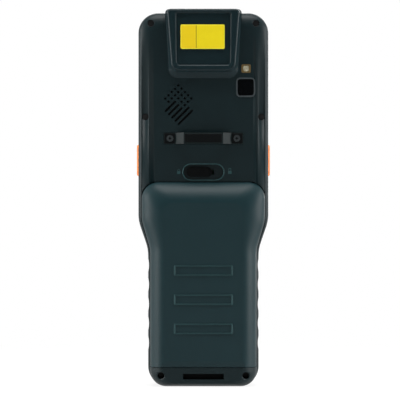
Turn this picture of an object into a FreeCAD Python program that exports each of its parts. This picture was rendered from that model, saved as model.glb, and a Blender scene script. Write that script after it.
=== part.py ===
import FreeCAD
import Part
import math
import os

# Portable barcode data terminal. Millimetres. X is across, Z is up along the body, Y is depth:
# the back with its battery cover faces -Y and the display faces +Y. It stands on its bottom end.

# Body outline, seen from the back
body_top = 203.2
upper_half_width = 35.45
lower_half_width = 30.15
waist_top = 89.9
waist_bottom = 74.5
waist_radius = 22.0
top_corner_radius = 10.9
bottom_corner_radius = 10.5

# Depths of the main planes
back_plane = -8.0
parting_plane = -1.0
front_plane = 16.0
seat_plane = -4.5
crown_plane = -16.6
hood_plane = -12.4

# Walls, edges and clearances
rear_wall = 1.8
side_wall = 2.0
front_wall = 2.8
seat_floor = 1.6
back_edge_radius = 5.0
front_edge_radius = 4.0
seat_gap = 0.1
cover_gap = 0.45
slide_gap = 0.15
pocket_gap = 0.05

# Grip form: the battery cover and the chin are cut from it
grip_upper_half_width = 33.4
grip_lower_half_width = 28.85
grip_end = 110.8
grip_corner_radius = 9.0
crown_upper_half_width = 21.9
crown_lower_half_width = 21.2
crown_end = 99.6
crown_bottom = 2.2
crown_corner_radius = 6.0
shoulder_power = 1.6
shoulder_steps = 5
chin_top = 10.4
split_gap = 0.3
cover_wall = 1.8
lower_bevel_length = 3.3
lower_bevel_depth = 0.5

# Thumb ribs on the cover: pairs of thin lines
rib_half_length = 15.35
rib_width = 0.8
rib_height = 0.4
rib_pair_gap = 4.9
rib_pair_pitch = 15.75
rib_first_height = 31.6
rib_pairs = 3

# Cover hooks and catch
hook_offset = 14.0
hook_width = 8.0
hook_thickness = 1.4
hook_reach = 2.8
hook_depth = -6.2
hook_room = 0.4
hook_swing_room = 1.0
catch_left = 1.2
catch_width = 5.4
catch_bottom = 102.1
catch_side = 0.9
catch_bar = 0.8
catch_rise_room = 0.8
catch_room = 0.4

# Lock slider in its oval recess
lock_height = 116.4
recess_half_width = 10.9
recess_size = 8.2
recess_depth = 1.3
recess_floor = 1.7
knob_left = -9.1
knob_width = 12.1
knob_size = 5.1
knob_proud = 0.35
knob_ribs = 9
knob_rib_width = 0.5
knob_rib_height = 0.35
lock_travel = 6.1
stem_half_width = 2.5
stem_size = 2.4
slide_plate_thickness = 1.2
slide_plate_half_width = 6.0
slide_plate_size = 5.8
arm_width = 3.8
tongue_size = 2.0
tongue_room = 0.3

# Scanner hood over the top end
hood_end = 205.0
hood_foot = 167.5
hood_foot_flat = 15.2
hood_foot_half_width = 19.5
hood_foot_shoulder = 172.0
hood_foot_top_half_width = 20.9
hood_rim_foot = 171.0
hood_rim_flat = 14.2
hood_rim_half_width = 17.4
hood_rim_shoulder = 174.0
hood_rim_top_half_width = 19.9
hood_corner = 2.0
hood_top_corner = 3.5
hood_wall = 1.5
hood_panel_half_width = 14.5
hood_panel_bottom = 174.8
hood_panel_top = 202.6
hood_panel_depth = 0.6
hood_skirt_plane = -3.0
plate_width = 23.9
plate_height = 13.2
plate_centre_x = -0.45
plate_centre_z = 189.75
plate_corner = 0.8
plate_thickness = 0.3

# Scanner behind the hood
aperture_half_width = 12.5
aperture_back = -10.0
aperture_front = -4.6
window_margin = 0.8
window_thickness = 1.1
engine_half_width = 11.0
engine_length = 20.0
engine_back = -8.6
scan_bay_half_width = 14.0
scan_bay_bottom = 176.0

# Display
glass_half_width = 30.5
glass_bottom = 92.5
glass_top = 193.5
glass_thickness = 1.5
glass_corner = 3.0
view_half_width = 27.0
view_bottom = 100.0
view_top = 188.0
module_half_width = 28.5
module_margin = 2.5
module_thickness = 3.6
frame_thickness = 1.2
frame_half_width = 31.5
frame_margin = 1.0
board_half_width = 28.4
board_back = 4.0
board_thickness = 1.2
post_radius = 2.0
post_offset = 25.0
post_inset = 6.0

# Keys
key_top = 17.0
key_width = 10.2
key_height = 8.4
key_corner = 2.6
key_gap = 0.2
key_taper = 0.7
key_travel = 0.6
flange_width = 0.7
flange_thickness = 1.2
column_pitch = 13.0
row_pitch = 11.0
first_row = 15.2
top_row = 82.4
top_key_height = 10.4
top_key_offset = 19.2
scan_key_width = 22.0
mat_thickness = 1.1
mat_rim = 0.8
mat_half_width = 26.4
mat_bottom = 9.2
mat_corner = 2.0
mat_top = 90.4
keypad_board_thickness = 1.2
press_room = 0.1

# Side buttons and their switches
button_height = 122.9
button_depth = 3.5
button_length = 17.5
button_width = 6.4
button_proud = 0.9
button_travel = 0.7
button_crown = 0.6
button_lip = 1.0
button_lip_thickness = 1.2
switch_length = 10.0
switch_width = 2.8
switch_size = 2.6

# Loudspeaker and its lattice of round and long holes
lattice_top_x = -13.65
lattice_top_z = 163.5
lattice_pitch = 2.5
lattice_count = 5
dot_diameter = 1.3
slot_width = 1.15
slot_first_line = 2
slot_last_line = 6
slot_end = 5.85
slot_start_inner = 3.0
slot_start_outer = 1.8
speaker_centre = 4.15
speaker_radius = 10.5
speaker_thickness = 4.2
mesh_thickness = 0.3
mesh_margin = 0.4

# Camera and flash
camera_x = 23.0
camera_z = 162.5
camera_width = 8.8
camera_height = 8.9
camera_corner = 1.5
bezel_width = 0.8
bezel_proud = 0.25
camera_recess = 1.0
barrel_radius = 3.2
camera_base = 8.4
camera_base_back = -2.0
flash_x = 23.2
flash_z = 172.7
flash_width = 5.1
flash_height = 4.6
flash_lens_width = 3.0
flash_lens_height = 3.2
flash_corner = 0.7

# Hand strap bracket
strap_height = 134.75
strap_size = 6.1
strap_half_width = 21.5
strap_pad_inner = 15.2
strap_bar_half_width = 10.7
strap_pad_thickness = 1.1
strap_recess = 1.2
strap_opening = 5.5
strap_bar_thickness = 1.5
strap_room = 0.2
strap_screw_offset = 18.2
strap_screw_length = 4.4

# Strap slot in the chin
slot_half_width = 11.0
slot_bottom = 4.2
slot_top = 7.3
slot_back = -12.8
slot_front = -8.0

# Case screws
screw_places = [(28.6, 197.3), (31.6, 146.5), (22.9, 6.25)]
screw_recess_radius = 1.85
screw_head_radius = 1.6
screw_head_height = 1.3
screw_seat = -4.6
screw_radius = 1.0
screw_end = 9.0
screw_gap = 0.05
boss_wall = 1.05
front_boss_radius = 2.75
strap_screw_radius = 0.8

# Battery and its bay
battery_half_width = 22.0
battery_bottom = 22.0
battery_top = 98.0
battery_back = -14.4
battery_front = 0.6
battery_edge = 4.0
bay_gap = 0.5
bay_wall = 1.5
contact_half_width = 7.0
contact_bottom = 26.0
contact_height = 4.0
contact_blades = 5
blade_width = 1.2

# Seals
seal_inset = 0.7
seal_width = 0.6
seal_depth = 0.6
cover_seal_inset = 2.1
cover_seal_width = 1.3
cover_seal_thickness = 1.4

# Finger scallops on the lower sides
scallop_radius = 14.0
scallop_depth = 0.5
scallop_pitch = 10.6
scallop_first = 23.3
scallop_count = 5

# Small pieces
ear_slot_width = 10.0
ear_slot_height = 1.2
ear_slot_z = 196.9
ear_mesh_margin = 1.0
dock_half_width = 8.0
dock_back = 1.0
dock_front = 4.5
dock_depth = 1.2
dock_pads = 6
dock_pad_width = 1.6

key_rows = [
    ("key_dot", "key_0", "key_hash", "key_enter"),
    ("key_7", "key_8", "key_9", "key_shift"),
    ("key_4", "key_5", "key_6", "key_tab"),
    ("key_1", "key_2", "key_3", "key_clear"),
    ("key_left", "key_down", "key_right", "key_function"),
    ("key_menu", "key_up", "key_back", "key_power"),
]

far = 60.0
Vector = FreeCAD.Vector
along_y = Vector(0, 1, 0)


# Outlines and simple solids

def rounded_wire(corners, depth):
    """Closed wire at one depth. Each corner is (x, z, radius) and gets a tangent arc."""
    edges = []
    ends = []
    count = len(corners)
    for index, (x, z, radius) in enumerate(corners):
        corner = Vector(x, depth, z)
        last = corners[index - 1]
        following = corners[(index + 1) % count]
        back = (Vector(last[0], depth, last[1]) - corner).normalize()
        ahead = (Vector(following[0], depth, following[1]) - corner).normalize()
        if radius < 0.01:
            ends.append((corner, corner))
            edges.append(None)
            continue
        half = back.getAngle(ahead) / 2
        start = corner + back * (radius / math.tan(half))
        end = corner + ahead * (radius / math.tan(half))
        centre = corner + (back + ahead).normalize() * (radius / math.sin(half))
        middle = centre + (corner - centre).normalize() * radius
        ends.append((start, end))
        edges.append(Part.Arc(start, middle, end).toShape())
    path = []
    for index in range(count):
        if edges[index] is not None:
            path.append(edges[index])
        path.append(Part.LineSegment(ends[index][1], ends[(index + 1) % count][0]).toShape())
    return Part.Wire(path)


def inset_corners(corners, inset):
    """The same outline drawn inwards: outer bends get tighter and inner bends wider."""
    result = []
    count = len(corners)
    for index, (x, z, radius) in enumerate(corners):
        last = corners[index - 1]
        following = corners[(index + 1) % count]
        arriving = Vector(x - last[0], 0, z - last[1]).normalize()
        leaving = Vector(following[0] - x, 0, following[1] - z).normalize()
        first_normal = Vector(-arriving.z, 0, arriving.x)
        second_normal = Vector(-leaving.z, 0, leaving.x)
        shift = (first_normal + second_normal) * (inset / (1 + first_normal.dot(second_normal)))
        turn = arriving.x * leaving.z - arriving.z * leaving.x
        new_radius = radius
        if radius > 0:
            new_radius = max(radius - math.copysign(inset, turn), 0.2)
        result.append((x + shift.x, z + shift.z, new_radius))
    return result


def blend_corners(first, second, share):
    """Corners part of the way from one outline to another."""
    return [tuple(a + (b - a) * share for a, b in zip(one, two)) for one, two in zip(first, second)]


def rectangle(x_low, x_high, z_low, z_high, radius=0.0):
    return [(x_low, z_low, radius), (x_high, z_low, radius), (x_high, z_high, radius), (x_low, z_high, radius)]


def centred(x, z, width, height, radius=0.0):
    return rectangle(x - width / 2, x + width / 2, z - height / 2, z + height / 2, radius)


def mirrored(right_side):
    """Whole outline from the corners of its right side, listed upwards."""
    return right_side + [(-x, z, radius) for x, z, radius in reversed(right_side)]


def prism(corners, low, high):
    """Outline carried straight from one depth to another."""
    return Part.Face(rounded_wire(corners, low)).extrude(Vector(0, high - low, 0))


def block(x_low, x_high, y_low, y_high, z_low, z_high):
    return Part.makeBox(x_high - x_low, y_high - y_low, z_high - z_low, Vector(x_low, y_low, z_low))


def rod(x, z, radius, low, high):
    return Part.makeCylinder(radius, high - low, Vector(x, low, z), along_y)


def both_sides(shape):
    return [shape, shape.mirror(Vector(0, 0, 0), Vector(1, 0, 0))]


def join(first, others):
    return first.multiFuse(others).removeSplitter()


def save(name, shape):
    shape.exportStep("parts/" + name + ".step")


# Shared forms

def body_corners():
    """Outline of the whole body with its waist."""
    return mirrored([
        (lower_half_width, 0, bottom_corner_radius),
        (lower_half_width, waist_bottom, waist_radius),
        (upper_half_width, waist_top, waist_radius),
        (upper_half_width, body_top, top_corner_radius),
    ])


def grip_corners():
    """Outline of the grip where it meets the body."""
    side = upper_half_width - grip_upper_half_width
    chin_corner = bottom_corner_radius - side
    return mirrored([
        (grip_lower_half_width, 0, chin_corner),
        (grip_lower_half_width, waist_bottom, waist_radius),
        (grip_upper_half_width, waist_top, waist_radius),
        (grip_upper_half_width, grip_end, grip_corner_radius),
    ])


def crown_corners():
    """Outline of the flat top of the grip."""
    return mirrored([
        (crown_lower_half_width, crown_bottom, crown_corner_radius),
        (crown_lower_half_width, waist_bottom, waist_radius),
        (crown_upper_half_width, waist_top, waist_radius),
        (crown_upper_half_width, crown_end, crown_corner_radius),
    ])


def grip_form(wall, start):
    """Grip with rounded shoulders, drawn in by a wall. It starts flat at one depth."""
    base = inset_corners(grip_corners(), wall) if wall else grip_corners()
    crown = inset_corners(crown_corners(), wall / 2) if wall else crown_corners()
    top = crown_plane + wall
    wires = [rounded_wire(base, start)]
    for step in range(shoulder_steps + 1):
        angle = step / shoulder_steps * math.pi / 2
        rise = math.sin(angle) ** (2 / shoulder_power)
        inset = 1 - abs(math.cos(angle)) ** (2 / shoulder_power)
        wires.append(rounded_wire(blend_corners(base, crown, inset), back_plane + rise * (top - back_plane)))
    return Part.makeLoft(wires, True, False)


def housing_block(inset, parting, face, radius):
    """Body outline carried from the parting plane to a face whose edge is rounded."""
    solid = prism(inset_corners(body_corners(), inset) if inset else body_corners(), parting, face)
    rim = [edge for edge in solid.Edges if all(abs(point.Point.y - face) < 0.001 for point in edge.Vertexes)]
    return solid.makeFillet(radius, rim)


def scallops():
    """Round cutters for the finger grips, which leave narrow ridges between them."""
    cutters = []
    low = seat_plane + 0.2
    for index in range(scallop_count):
        centre = lower_half_width + scallop_radius - scallop_depth
        height = scallop_first + index * scallop_pitch
        cutters += both_sides(rod(centre, height, scallop_radius, low, front_plane + 1))
    return cutters


def screw_points():
    return [(side * x, z) for x, z in screw_places for side in (1, -1)]


def stadium(x, z, width, height):
    return centred(x, z, width, height, height / 2 - 0.01)


def lattice_point(down_left, down_right):
    """Place on the speaker lattice, whose two directions run at 45 degrees."""
    step = lattice_pitch / math.sqrt(2)
    return (lattice_top_x + step * (down_right - down_left), lattice_top_z - step * (down_right + down_left))


def speaker_holes(low, high):
    """Round holes on the lattice, and long holes along its lower lines."""
    cutters = []
    for row in range(lattice_count):
        for line in range(lattice_count):
            if row < slot_start_inner or line < slot_first_line:
                x, z = lattice_point(row, line)
                cutters.append(rod(x, z, dot_diameter / 2, low, high))
    for line in range(slot_first_line, slot_last_line + 1):
        start = slot_start_inner if line < lattice_count else slot_start_outer
        x_start, z_start = lattice_point(start, line)
        length = (slot_end - start) * lattice_pitch
        slot = prism(rectangle(-slot_width / 2, length + slot_width / 2, -slot_width / 2, slot_width / 2,
                               slot_width / 2 - 0.01), low, high)
        slot.rotate(Vector(0, 0, 0), along_y, 135)
        slot.translate(Vector(x_start, 0, z_start))
        cutters.append(slot)
    return cutters


# Values worked out from the sizes above

cover_bottom = chin_top + split_gap
rebate_top = grip_end + cover_gap
inner_back = back_plane + rear_wall
inner_front = front_plane - front_wall
floor_inner = seat_plane + seat_floor
recess_plane = back_plane + recess_depth
slide_plane = recess_plane + recess_floor
tongue_back = floor_inner + 0.2
tongue_front = tongue_back + slide_plate_thickness
tongue_bottom = catch_bottom + catch_side + tongue_room
bay_bottom = battery_bottom - bay_gap
bay_top = battery_top + bay_gap
bay_half_width = battery_half_width + bay_gap
bay_floor = battery_front + bay_gap
panel_plane = hood_plane + hood_panel_depth
strap_floor = back_plane + strap_recess
strap_pad_plane = strap_floor - strap_pad_thickness
strap_bar_under = strap_floor - strap_opening
window_top = body_top - rear_wall - seat_gap
flange_front = inner_front - seat_gap
flange_back = flange_front - flange_thickness
mat_front = flange_back - key_travel - press_room
mat_back = mat_front - mat_thickness
module_front = inner_front - seat_gap
module_back = module_front - module_thickness
frame_front = module_back - seat_gap
frame_back = frame_front - frame_thickness
board_front = board_back + board_thickness
glass_back = front_plane - seat_gap - glass_thickness
speaker_x, speaker_z = lattice_point(speaker_centre - 1.2, speaker_centre - 1.2)


# Housings

def rear_housing():
    outer = housing_block(0, parting_plane, back_plane, back_edge_radius)
    chin = grip_form(0, parting_plane).common(block(-far, far, -far, far, -1, chin_top))
    solid = outer.fuse(chin)

    rebate = prism(inset_corners(grip_corners(), -cover_gap), seat_plane, -far)
    solid = solid.cut(rebate.common(block(-far, far, -far, far, chin_top, body_top)))

    deep = housing_block(rear_wall, parting_plane, inner_back, back_edge_radius - rear_wall)
    deep = deep.common(block(-far, far, -far, far, rebate_top + rear_wall, body_top))
    shallow = prism(inset_corners(body_corners(), rear_wall), parting_plane, floor_inner)
    shallow = shallow.common(block(-far, far, -far, far, chin_top - rear_wall, rebate_top + 2 * rear_wall))
    solid = solid.cut(deep.fuse(shallow))

    tray = prism(rectangle(-bay_half_width - bay_wall, bay_half_width + bay_wall, bay_bottom - bay_wall,
                           bay_top + bay_wall, 2.0), seat_plane, bay_floor + bay_wall)
    lock_pad = block(-recess_half_width - rear_wall, recess_half_width + rear_wall, inner_back, slide_plane,
                     rebate_top, lock_height + recess_size / 2 + rear_wall)
    strap_bosses = [rod(side * strap_screw_offset, strap_height, 2.5, inner_back - 0.5,
                        strap_pad_plane + strap_screw_length + 1) for side in (1, -1)]
    bosses = [rod(x, z, screw_recess_radius + boss_wall, back_plane, parting_plane).common(outer)
              for x, z in screw_points()]
    solid = solid.multiFuse([tray, lock_pad] + strap_bosses + bosses)

    cutters = []
    cutters.append(prism(rectangle(-bay_half_width, bay_half_width, bay_bottom, bay_top, 1.0), -far, bay_floor))
    cutters.append(block(-contact_half_width - slide_gap, contact_half_width + slide_gap, 0, far,
                         contact_bottom - slide_gap, contact_bottom + contact_height + slide_gap))
    for x, z in screw_points():
        cutters.append(rod(x, z, screw_recess_radius, -far, screw_seat))
        cutters.append(rod(x, z, screw_radius + screw_gap, screw_seat - 1, parting_plane + 1))
    cutters.append(block(-scan_bay_half_width, scan_bay_half_width, -far,
                         aperture_front + window_margin + seat_gap, scan_bay_bottom,
                         body_top - rear_wall))
    cutters.append(block(-aperture_half_width, aperture_half_width, -far, aperture_front, body_top - 6, far * 5))
    cutters.append(prism(centred(camera_x, camera_z, camera_width + 2 * bezel_width + 2 * pocket_gap,
                                 camera_height + 2 * bezel_width + 2 * pocket_gap, camera_corner + bezel_width),
                         -far, back_plane + camera_recess))
    cutters.append(rod(camera_x, camera_z, barrel_radius + slide_gap, -far, inner_back + 1))
    cutters.append(prism(centred(flash_x, flash_z, flash_width, flash_height, flash_corner), -far, back_plane + 1))
    cutters.append(prism(centred(flash_x, flash_z, flash_lens_width, flash_lens_height, flash_corner),
                         -far, inner_back + 1))
    cutters += speaker_holes(-far, inner_back + 1)
    cutters.append(prism(centred(0, strap_height, 2 * strap_half_width + 2 * strap_room,
                                 strap_size + 2 * strap_room, strap_room), -far, strap_floor))
    for side in (1, -1):
        cutters.append(rod(side * strap_screw_offset, strap_height, strap_screw_radius + screw_gap, -far,
                           strap_pad_plane + strap_screw_length))
    cutters.append(prism(stadium(0, lock_height, 2 * recess_half_width, recess_size), -far, recess_plane))
    stem_left = knob_left + knob_width / 2 - stem_half_width - slide_gap
    stem_right = knob_left + knob_width / 2 + stem_half_width + lock_travel + slide_gap
    cutters.append(block(stem_left, stem_right, -far, inner_back + 3, lock_height - stem_size / 2 - slide_gap,
                         lock_height + stem_size / 2 + slide_gap))
    catch_top = catch_bottom + 2 * catch_side + 2 * tongue_room + tongue_size
    cutters.append(block(catch_left - catch_room, catch_left + catch_width + catch_room, seat_plane - 1,
                         floor_inner + 0.5, catch_bottom - catch_room, catch_top + catch_rise_room))
    for side in (1, -1):
        cutters.append(block(side * hook_offset - hook_width / 2 - hook_room,
                             side * hook_offset + hook_width / 2 + hook_room,
                             hook_depth - hook_thickness - hook_room, hook_depth + hook_swing_room,
                             cover_bottom - hook_reach - hook_room, chin_top + 1))
    cutters.append(block(-slot_half_width, slot_half_width, -far, slot_front, slot_bottom, slot_top))
    cutters.append(block(-slot_half_width, slot_half_width, slot_back, slot_front, -1, slot_top))
    ring = prism(inset_corners(body_corners(), seal_inset), parting_plane - seal_depth, parting_plane)
    core = prism(inset_corners(body_corners(), seal_inset + seal_width), parting_plane - seal_depth - 1,
                 parting_plane + 1)
    cutters.append(ring.cut(core))
    cutters += scallops()
    for cutter in cutters:
        solid = solid.cut(cutter)
    return solid.removeSplitter()


def housing_seal():
    """Square rubber ring in the groove between the two housings."""
    outer = prism(inset_corners(body_corners(), seal_inset + pocket_gap), parting_plane - seal_depth + pocket_gap,
                  parting_plane)
    inner = prism(inset_corners(body_corners(), seal_inset + seal_width - pocket_gap), parting_plane - 1,
                  parting_plane + 1)
    return outer.cut(inner)


def front_housing():
    outer = housing_block(0, parting_plane, front_plane, front_edge_radius)
    cavity = housing_block(side_wall, parting_plane, inner_front, front_edge_radius - side_wall)
    solid = outer.cut(cavity)
    bosses = [rod(x, z, front_boss_radius, parting_plane, inner_front + 0.5).common(outer)
              for x, z in screw_points()]
    solid = solid.multiFuse(bosses)

    cutters = [rod(x, z, screw_radius + screw_gap, parting_plane - 1, screw_end + 1) for x, z in screw_points()]
    cutters.append(prism(rectangle(-glass_half_width - pocket_gap, glass_half_width + pocket_gap,
                                   glass_bottom - pocket_gap, glass_top + pocket_gap, glass_corner),
                         glass_back - seat_gap, far))
    cutters.append(prism(rectangle(-view_half_width, view_half_width, view_bottom, view_top, 1.0), 0, far))
    cutters.append(prism(stadium(0, ear_slot_z, ear_slot_width, ear_slot_height), 0, far))
    for name, x, z, width, height in key_places():
        cutters.append(prism(centred(x, z, width + 2 * key_gap, height + 2 * key_gap, key_corner + key_gap),
                             inner_front - 1, far))
    for side in (1, -1):
        cutters.append(side_form(side, button_length + 2 * slide_gap, button_width + 2 * slide_gap,
                                 upper_half_width - side_wall - 1, far))
    cutters.append(block(-dock_half_width - pocket_gap, dock_half_width + pocket_gap, dock_back - pocket_gap,
                         dock_front + pocket_gap, -1, dock_depth + pocket_gap))
    cutters += scallops()
    for cutter in cutters:
        solid = solid.cut(cutter)
    return solid.removeSplitter()


# Keys

def key_places():
    """Name, place and size of each key."""
    places = []
    for row, names in enumerate(key_rows):
        for column, name in enumerate(names):
            x = (column - (len(names) - 1) / 2) * -column_pitch
            places.append((name, x, first_row + row * row_pitch, key_width, key_height))
    places.append(("key_soft_left", top_key_offset, top_row, key_width, top_key_height))
    places.append(("key_scan", 0, top_row, scan_key_width, top_key_height))
    places.append(("key_soft_right", -top_key_offset, top_row, key_width, top_key_height))
    return places


def key(x, z, width, height):
    """Key cap with a bevelled top and a flange that holds it behind the wall."""
    cap = prism(centred(x, z, width, height, key_corner), flange_back, front_plane)
    top = Part.makeLoft([
        rounded_wire(centred(x, z, width, height, key_corner), front_plane),
        rounded_wire(centred(x, z, width - 2 * key_taper, height - 2 * key_taper, key_corner - key_taper),
                     key_top),
    ], True, True)
    flange = prism(centred(x, z, width + 2 * flange_width, height + 2 * flange_width, 1.0), flange_back,
                   flange_front)
    return join(cap, [top, flange])


def keypad_mat():
    plate = prism(rectangle(-mat_half_width, mat_half_width, mat_bottom, mat_top, mat_corner), mat_back, mat_front)
    rim = prism(rectangle(-mat_half_width, mat_half_width, mat_bottom, mat_top, mat_corner), mat_front, flange_front)
    well = prism(rectangle(-mat_half_width + mat_rim, mat_half_width - mat_rim, mat_bottom + mat_rim,
                           mat_top - mat_rim, mat_corner - mat_rim), mat_front, far)
    return join(plate, [rim.cut(well)])


def keypad_board():
    return prism(rectangle(-mat_half_width, mat_half_width, mat_bottom, mat_top, mat_corner),
                 mat_back - seat_gap - keypad_board_thickness, mat_back - seat_gap)


# Side buttons

def side_form(side, length, width, low, high):
    """Upright stadium on the side of the body, from one distance off the middle to another."""
    shape = prism(centred(0, button_height, width, length, width / 2 - 0.01), low, high)
    shape.rotate(Vector(0, 0, 0), Vector(0, 0, 1), -90)
    shape.translate(Vector(0, button_depth, 0))
    if side < 0:
        shape = shape.mirror(Vector(0, 0, 0), Vector(1, 0, 0))
    return shape


def side_button(side):
    """Button with a crowned face, and a lip that keeps it behind the wall."""
    lip_high = upper_half_width - side_wall - slide_gap
    lip_low = lip_high - button_lip_thickness
    stem = side_form(1, button_length, button_width, lip_low, upper_half_width)
    crown = Part.makeLoft([
        rounded_wire(centred(0, button_height, button_width, button_length, button_width / 2 - 0.01),
                     upper_half_width),
        rounded_wire(centred(0, button_height, button_width - 2 * button_crown, button_length - 2 * button_crown,
                             button_width / 2 - button_crown - 0.01), upper_half_width + button_proud),
    ], True, True)
    crown.rotate(Vector(0, 0, 0), Vector(0, 0, 1), -90)
    crown.translate(Vector(0, button_depth, 0))
    lip = side_form(1, button_length + 2 * button_lip, button_width + 2 * button_lip, lip_low, lip_high)
    shape = join(stem, [crown, lip])
    return shape if side > 0 else both_sides(shape)[1]


def side_switches():
    """Two switches on the edges of the main board."""
    lip_low = upper_half_width - side_wall - slide_gap - button_lip_thickness
    outer = lip_low - button_travel - press_room
    switch = block(board_half_width + seat_gap, outer, button_depth - switch_width / 2,
                   button_depth + switch_width / 2, button_height - switch_length / 2,
                   button_height + switch_length / 2)
    return Part.makeCompound(both_sides(switch))


# Battery cover, its lock and the battery

def battery_cover():
    start = seat_plane - seat_gap
    outer = grip_form(0, start).common(block(-far, far, -far, far, cover_bottom, body_top))
    inner = grip_form(cover_wall, start)
    inner = inner.common(block(-far, far, -far, far, cover_bottom + cover_wall, body_top))
    solid = outer.cut(inner)
    bevel = Part.Face(Part.makePolygon([
        Vector(-far, crown_plane - 1, cover_bottom),
        Vector(-far, crown_plane + lower_bevel_depth, cover_bottom),
        Vector(-far, crown_plane, cover_bottom + lower_bevel_length),
        Vector(-far, crown_plane - 1, cover_bottom + lower_bevel_length),
        Vector(-far, crown_plane - 1, cover_bottom),
    ])).extrude(Vector(2 * far, 0, 0))
    solid = solid.cut(bevel)

    added = []
    for pair in range(rib_pairs):
        for side in (-1, 1):
            height = rib_first_height + pair * rib_pair_pitch + side * rib_pair_gap / 2
            added.append(prism(centred(0, height, 2 * rib_half_length, rib_width, rib_width / 2 - 0.02),
                               crown_plane - rib_height, crown_plane + 0.5))
    for side in (1, -1):
        added.append(block(side * hook_offset - hook_width / 2, side * hook_offset + hook_width / 2,
                           hook_depth - hook_thickness, hook_depth, cover_bottom - hook_reach,
                           cover_bottom + cover_wall / 2))
    catch_top = catch_bottom + 2 * catch_side + 2 * tongue_room + tongue_size
    catch_front = tongue_front + 0.2 + catch_bar
    post = block(catch_left, catch_left + catch_width, crown_plane, catch_front, catch_bottom, catch_top)
    notch = block(catch_left - 1, catch_left + catch_width + 1, tongue_back - 0.2, tongue_front + 0.2,
                  catch_bottom + catch_side, catch_top - catch_side)
    inside = grip_form(cover_wall / 2, start).fuse(block(-far, far, start, far, 0, body_top))
    added.append(post.common(inside).cut(notch))
    return join(solid, added)


def cover_seal():
    """Rubber ring inside the rim of the cover, which presses on the seat."""
    corners = inset_corners(grip_corners(), cover_seal_inset)
    inner = inset_corners(grip_corners(), cover_seal_inset + cover_seal_width)
    start = seat_plane - seat_gap
    ring = prism(corners, start - cover_seal_thickness, start).cut(prism(inner, -far, far))
    above = cover_bottom + cover_wall + seat_gap
    ring = ring.common(block(-far, far, -far, far, above, body_top))
    closing = block(-grip_lower_half_width + cover_seal_inset, grip_lower_half_width - cover_seal_inset,
                    start - cover_seal_thickness, start, above, above + cover_seal_width)
    return join(ring, [closing])


def lock_slider():
    """Ribbed thumb piece, its stem through the wall, and the tongue that holds the cover's catch."""
    centre = knob_left + knob_width / 2
    knob_back = back_plane - knob_proud
    knob = prism(centred(centre, lock_height, knob_width, knob_size, knob_size / 2 - 0.3), knob_back,
                 recess_plane - seat_gap)
    ribs = []
    pitch = (knob_width - 2) / knob_ribs
    for index in range(knob_ribs):
        x = knob_left + 1 + pitch * (index + 0.5)
        ribs.append(block(x - knob_rib_width / 2, x + knob_rib_width / 2, knob_back - knob_rib_height,
                          knob_back + 0.2, lock_height - knob_size * 0.36, lock_height + knob_size * 0.36))
    stem = block(centre - stem_half_width, centre + stem_half_width, recess_plane - 0.5, slide_plane + 0.5,
                 lock_height - stem_size / 2, lock_height + stem_size / 2)
    plate_back = slide_plane + seat_gap
    plate = block(centre - slide_plate_half_width, centre + slide_plate_half_width, plate_back,
                  plate_back + slide_plate_thickness, lock_height - slide_plate_size / 2,
                  lock_height + slide_plate_size / 2)
    riser_low = lock_height - slide_plate_size / 2
    arm_right = catch_left - lock_travel - tongue_room
    riser = block(arm_right - arm_width, arm_right, plate_back, tongue_front, riser_low,
                  riser_low + slide_plate_thickness)
    arm = block(arm_right - arm_width, arm_right, tongue_back, tongue_front, tongue_bottom,
                riser_low + slide_plate_thickness)
    tongue = block(arm_right - 1, catch_left - tongue_room, tongue_back, tongue_front, tongue_bottom,
                   tongue_bottom + tongue_size)
    return join(knob, ribs + [stem, plate, riser, arm, tongue])


def battery_pack():
    """Pack with rounded edges and a pull tab step along its upper end."""
    pack = block(-battery_half_width, battery_half_width, battery_back, battery_front, battery_bottom, battery_top)
    edges = [edge for edge in pack.Edges if all(abs(point.Point.y - battery_back) < 0.001 for point in edge.Vertexes)]
    return pack.makeFillet(battery_edge, edges)


def battery_contacts():
    """Contact block in the floor of the bay, with its raised blades."""
    base = block(-contact_half_width, contact_half_width, bay_floor + 0.1, bay_floor + bay_wall,
                 contact_bottom, contact_bottom + contact_height)
    blades = []
    pitch = 2 * contact_half_width / contact_blades
    for index in range(contact_blades):
        x = -contact_half_width + pitch * (index + 0.5)
        blades.append(block(x - blade_width / 2, x + blade_width / 2, battery_front + 0.1, bay_floor + 0.2,
                            contact_bottom + 0.6, contact_bottom + contact_height - 0.6))
    return join(base, blades)


# Scanner

def hood_outline_foot():
    return mirrored([
        (hood_foot_flat, hood_foot, hood_corner),
        (hood_foot_half_width, hood_foot_shoulder, hood_corner),
        (hood_foot_top_half_width, hood_end, hood_top_corner),
    ])


def hood_outline_rim():
    return mirrored([
        (hood_rim_flat, hood_rim_foot, hood_corner),
        (hood_rim_half_width, hood_rim_shoulder, hood_corner),
        (hood_rim_top_half_width, hood_end, hood_top_corner),
    ])


def scanner_hood():
    """Sloping hood with a sunk panel. Its upper end closes over the rounded edge of the body."""
    foot = hood_outline_foot()
    rim = hood_outline_rim()
    outer = Part.makeLoft([rounded_wire(foot, back_plane), rounded_wire(rim, hood_plane)], True, True)
    skirt = prism(foot, back_plane, hood_skirt_plane)
    body = housing_block(0, parting_plane, back_plane, back_edge_radius)
    solid = outer.fuse(skirt).cut(body)
    ceiling = panel_plane + hood_wall
    inner = Part.makeLoft([
        rounded_wire(inset_corners(foot, hood_wall), back_plane + 1),
        rounded_wire(inset_corners(rim, hood_wall), ceiling),
    ], True, True)
    inner = inner.common(block(-scan_bay_half_width - 2, scan_bay_half_width + 2, -far, far, hood_foot,
                               body_top - rear_wall))
    solid = solid.cut(inner)
    panel = prism(rectangle(-hood_panel_half_width, hood_panel_half_width, hood_panel_bottom, hood_panel_top, 1.5),
                  -far, panel_plane)
    solid = solid.cut(panel)
    solid = solid.cut(block(-aperture_half_width, aperture_half_width, aperture_back, aperture_front,
                            body_top - 6, far * 5))
    return max(solid.removeSplitter().Solids, key=lambda piece: piece.Volume)


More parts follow.
